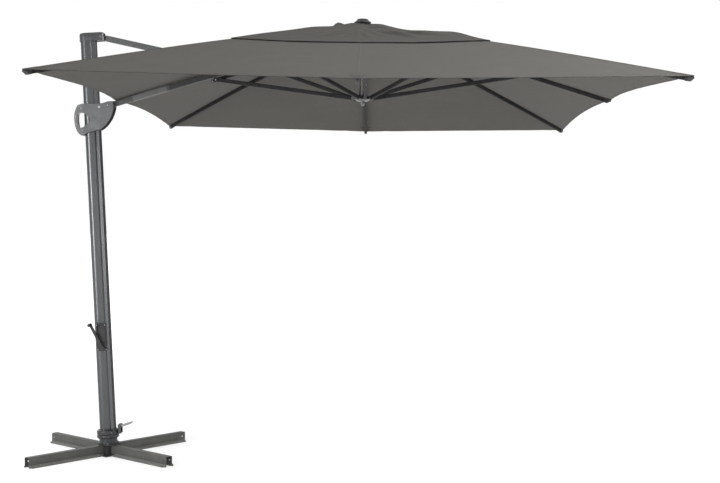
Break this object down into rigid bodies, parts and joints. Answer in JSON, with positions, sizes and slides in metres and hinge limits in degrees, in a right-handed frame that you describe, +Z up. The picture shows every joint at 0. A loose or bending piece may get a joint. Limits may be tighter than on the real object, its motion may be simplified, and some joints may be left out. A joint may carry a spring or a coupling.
{
  "type": "cantilever parasol",
  "caption": "Side-mast garden parasol: leaning mast on a cross base, sliding handle, tie bar and beam carrying a rectangular ribbed canopy with a vented crown.",
  "frame": {"origin": "centre of the base hub's underside, on the ground, where the mast's axis meets it", "axes": "+Z up, +X from the mast towards the canopy, +Y along the long side of the canopy"},
  "size_m": [3.4879, 4.0098, 2.629],
  "materials": {
    "base_paint": "satin",
    "frame_paint": "satin",
    "mast_paint": "satin",
    "slider_cast": "satin",
    "bare_alu": "satin",
    "black_plastic": "matte",
    "fastener_steel": "satin",
    "canopy_fabric": "matte"
  },
  "bodies": {
    "base": {"base_hub": "base_paint", "leg_back_right": "base_paint", "leg_back_left": "base_paint", "leg_front_left": "base_paint", "leg_front_right": "base_paint", "foot_sleeve": "frame_paint"},
    "mast": {"swivel_collar": "frame_paint", "pedal_housing": "black_plastic", "mast": "mast_paint", "mast_head": "frame_paint", "tie_bar_pin": "fastener_steel", "crank_housing": "black_plastic"},
    "pedal": {"foot_pedal": "frame_paint"},
    "crank": {"crank_arm": "frame_paint"},
    "crank_knob": {"crank_knob": "black_plastic"},
    "slider": {"slider_shell_near": "slider_cast", "slider_shell_far": "slider_cast", "slider_roller": "black_plastic", "slider_axle": "fastener_steel", "beam_pivot_pin": "fastener_steel"},
    "beam": {"beam_knuckle": "black_plastic", "beam_lower_tube": "mast_paint", "beam_sleeve": "bare_alu", "beam_main_tube": "frame_paint", "beam_end_bracket": "black_plastic", "top_hub": "black_plastic", "centre_pole": "bare_alu", "pole_tip": "black_plastic", "crown_finial": "black_plastic", "canopy_cloth": "canopy_fabric", "crown_cloth": "canopy_fabric"},
    "tie_bar": {"tie_bar_eye": "black_plastic", "tie_bar": "frame_paint", "tie_bar_fork": "black_plastic"},
    "runner": {"strut_runner": "slider_cast"},
    "rib_right": {"rib_right": "frame_paint", "rib_tip_right": "black_plastic"},
    "strut_right": {"strut_right": "frame_paint"},
    "rib_far_right": {"rib_far_right": "frame_paint", "rib_tip_far_right": "black_plastic"},
    "strut_far_right": {"strut_far_right": "frame_paint"},
    "rib_far": {"rib_far": "frame_paint", "rib_tip_far": "black_plastic"},
    "strut_far": {"strut_far": "frame_paint"},
    "rib_far_left": {"rib_far_left": "frame_paint", "rib_tip_far_left": "black_plastic"},
    "strut_far_left": {"strut_far_left": "frame_paint"},
    "rib_left": {"rib_left": "frame_paint"},
    "strut_left": {"strut_left": "frame_paint"},
    "rib_near_left": {"rib_near_left": "frame_paint", "rib_tip_near_left": "black_plastic"},
    "strut_near_left": {"strut_near_left": "frame_paint"},
    "rib_near": {"rib_near": "frame_paint", "rib_tip_near": "black_plastic"},
    "strut_near": {"strut_near": "frame_paint"},
    "rib_near_right": {"rib_near_right": "frame_paint", "rib_tip_near_right": "black_plastic"},
    "strut_near_right": {"strut_near_right": "frame_paint"}
  },
  "joints": [
    {"name": "mast_swivel", "type": "hinge", "parent": "base", "child": "mast", "pos_m": [0, 0, 0], "axis": [-0.0502, 0, 0.9987], "continuous": true},
    {"name": "pedal_press", "type": "hinge", "parent": "mast", "child": "pedal", "pos_m": [0.06756, 0, 0.16961], "axis": [0, 1, 0], "range_deg": [0, 10], "stiffness_Nm_per_rad": 3, "springref_deg": -8.59},
    {"name": "crank_turn", "type": "hinge", "parent": "mast", "child": "crank", "pos_m": [-0.02841, -0.06, 0.64439], "axis": [0, 1, 0], "continuous": true},
    {"name": "knob_spin", "type": "hinge", "parent": "crank", "child": "crank_knob", "pos_m": [-0.10014, -0.07, 0.78517], "axis": [0, 1, 0], "continuous": true},
    {"name": "slider_travel", "type": "slide", "parent": "mast", "child": "slider", "axis": [0.0502, 0, -0.9987], "range_m": [0, 0.9]},
    {"name": "beam_swing", "type": "hinge", "parent": "slider", "child": "beam", "pos_m": [-0.00065, 0, 2.10663], "axis": [0, -1, 0], "range_deg": [0, 39.27]},
    {"name": "tie_swing", "type": "hinge", "parent": "mast", "child": "tie_bar", "pos_m": [-0.04597, 0, 2.51997], "axis": [0, 1, 0], "range_deg": [0, 37.03]},
    {"name": "canopy_fold", "type": "slide", "parent": "beam", "child": "runner", "axis": [0, 0, -1], "range_m": [0, 1.31], "deforming": ["canopy_cloth", "crown_cloth"]},
    {"name": "rib_right_fold", "type": "hinge", "parent": "beam", "child": "rib_right", "pos_m": [1.597, 0, 2.552], "axis": [0, 1, 0], "range_deg": [0, 54.76]},
    {"name": "strut_right_fold", "type": "hinge", "parent": "runner", "child": "strut_right", "pos_m": [1.597, 0.0168, 2.15], "axis": [0, -1, 0], "range_deg": [0, 62.42]},
    {"name": "rib_far_right_fold", "type": "hinge", "parent": "beam", "child": "rib_far_right", "pos_m": [1.5722, 0.0496, 2.552], "axis": [-0.8, 0.6, 0], "range_deg": [0, 63.24]},
    {"name": "strut_far_right_fold", "type": "hinge", "parent": "runner", "child": "strut_far_right", "pos_m": [1.55876, 0.05968, 2.15], "axis": [0.8, -0.6, 0], "range_deg": [0, 60.46]},
    {"name": "rib_far_fold", "type": "hinge", "parent": "beam", "child": "rib_far", "pos_m": [1.535, 0.062, 2.552], "axis": [-1, 0, 0], "range_deg": [0, 59.08]},
    {"name": "strut_far_fold", "type": "hinge", "parent": "runner", "child": "strut_far", "pos_m": [1.5182, 0.062, 2.15], "axis": [1, 0, 0], "range_deg": [0, 62.47]},
    {"name": "rib_far_left_fold", "type": "hinge", "parent": "beam", "child": "rib_far_left", "pos_m": [1.4978, 0.0496, 2.552], "axis": [-0.8, -0.6, 0], "range_deg": [0, 63.88]},
    {"name": "strut_far_left_fold", "type": "hinge", "parent": "runner", "child": "strut_far_left", "pos_m": [1.48436, 0.03952, 2.15], "axis": [0.8, 0.6, 0], "range_deg": [0, 59.66]},
    {"name": "rib_left_fold", "type": "hinge", "parent": "beam", "child": "rib_left", "pos_m": [1.473, 0, 2.512], "axis": [0, -1, 0], "range_deg": [0, 64.36]},
    {"name": "strut_left_fold", "type": "hinge", "parent": "runner", "child": "strut_left", "pos_m": [1.473, -0.0168, 2.15], "axis": [0, 1, 0], "range_deg": [0, 73.12]},
    {"name": "rib_near_left_fold", "type": "hinge", "parent": "beam", "child": "rib_near_left", "pos_m": [1.4978, -0.0496, 2.552], "axis": [0.8, -0.6, 0], "range_deg": [0, 63.88]},
    {"name": "strut_near_left_fold", "type": "hinge", "parent": "runner", "child": "strut_near_left", "pos_m": [1.51124, -0.05968, 2.15], "axis": [-0.8, 0.6, 0], "range_deg": [0, 59.66]},
    {"name": "rib_near_fold", "type": "hinge", "parent": "beam", "child": "rib_near", "pos_m": [1.535, -0.062, 2.552], "axis": [1, 0, 0], "range_deg": [0, 59.08]},
    {"name": "strut_near_fold", "type": "hinge", "parent": "runner", "child": "strut_near", "pos_m": [1.5518, -0.062, 2.15], "axis": [-1, 0, 0], "range_deg": [0, 62.47]},
    {"name": "rib_near_right_fold", "type": "hinge", "parent": "beam", "child": "rib_near_right", "pos_m": [1.5722, -0.0496, 2.552], "axis": [0.8, 0.6, 0], "range_deg": [0, 63.24]},
    {"name": "strut_near_right_fold", "type": "hinge", "parent": "runner", "child": "strut_near_right", "pos_m": [1.58564, -0.03952, 2.15], "axis": [-0.8, -0.6, 0], "range_deg": [0, 60.46]}
  ],
  "couplings": [
    {"joint": "slider_travel", "follows": "beam_swing", "m_per_rad": 1.3132},
    {"joint": "tie_swing", "follows": "beam_swing", "ratio": 0.94295},
    {"joint": "rib_right_fold", "follows": "canopy_fold", "rad_per_m": 0.72956},
    {"joint": "strut_right_fold", "follows": "canopy_fold", "rad_per_m": 0.8316},
    {"joint": "rib_far_right_fold", "follows": "canopy_fold", "rad_per_m": 0.84251},
    {"joint": "strut_far_right_fold", "follows": "canopy_fold", "rad_per_m": 0.80552},
    {"joint": "rib_far_fold", "follows": "canopy_fold", "rad_per_m": 0.78704},
    {"joint": "strut_far_fold", "follows": "canopy_fold", "rad_per_m": 0.8322},
    {"joint": "rib_far_left_fold", "follows": "canopy_fold", "rad_per_m": 0.85101},
    {"joint": "strut_far_left_fold", "follows": "canopy_fold", "rad_per_m": 0.79485},
    {"joint": "rib_left_fold", "follows": "canopy_fold", "rad_per_m": 0.8575},
    {"joint": "strut_left_fold", "follows": "canopy_fold", "rad_per_m": 0.9742},
    {"joint": "rib_near_left_fold", "follows": "canopy_fold", "rad_per_m": 0.85101},
    {"joint": "strut_near_left_fold", "follows": "canopy_fold", "rad_per_m": 0.79485},
    {"joint": "rib_near_fold", "follows": "canopy_fold", "rad_per_m": 0.78704},
    {"joint": "strut_near_fold", "follows": "canopy_fold", "rad_per_m": 0.8322},
    {"joint": "rib_near_right_fold", "follows": "canopy_fold", "rad_per_m": 0.84251},
    {"joint": "strut_near_right_fold", "follows": "canopy_fold", "rad_per_m": 0.80552}
  ]
}
